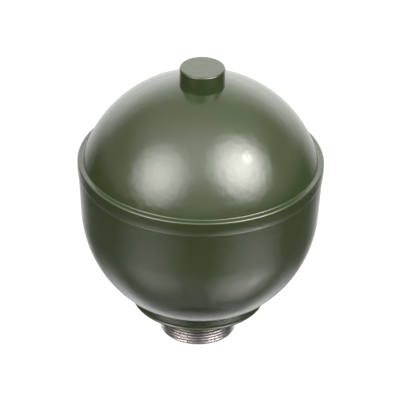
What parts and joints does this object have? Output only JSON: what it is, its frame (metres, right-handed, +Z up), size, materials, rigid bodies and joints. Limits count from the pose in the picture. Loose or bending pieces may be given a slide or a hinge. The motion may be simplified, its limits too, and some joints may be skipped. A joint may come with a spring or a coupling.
{
  "type": "diaphragm accumulator",
  "caption": "Round two-shell pressure vessel with a rolled belt, a filler plug on top and a threaded neck; a rubber diaphragm inside parts gas from oil behind a leaf-valve damper.",
  "frame": {"origin": "centre of the flat end face of the threaded neck, on which the part stands", "axes": "+Z up the axis of symmetry, from the neck to the filler plug; X and Y have no preferred direction"},
  "size_m": [0.11, 0.11, 0.1363],
  "materials": {
    "green_paint": "gloss",
    "turned_steel": "turned",
    "blued_steel": "tempered blue",
    "zinc_plate": "satin",
    "rubber": "matte"
  },
  "bodies": {
    "vessel": {"upper_shell": "green_paint", "lower_shell": "green_paint", "neck": "turned_steel", "filler_plug": "green_paint", "plug_seal": "rubber", "clamp_ring": "turned_steel", "diaphragm": "rubber", "damper_body": "turned_steel", "bleed_rivet": "zinc_plate", "rivet_washer": "turned_steel", "outer_leaf_1": "blued_steel", "outer_leaf_2": "blued_steel", "outer_leaf_3": "blued_steel", "outer_leaf_4": "blued_steel", "inner_leaf_1": "blued_steel", "inner_leaf_2": "blued_steel", "inner_leaf_3": "blued_steel", "inner_leaf_4": "blued_steel"},
    "diaphragm_centre": {"closing_button": "zinc_plate"}
  },
  "joints": [
    {"name": "diaphragm_stroke", "type": "slide", "parent": "vessel", "child": "diaphragm_centre", "axis": [0, 0, 1], "range_m": [0, 0.057], "stiffness_N_per_m": 60, "deforming": ["diaphragm"]}
  ]
}
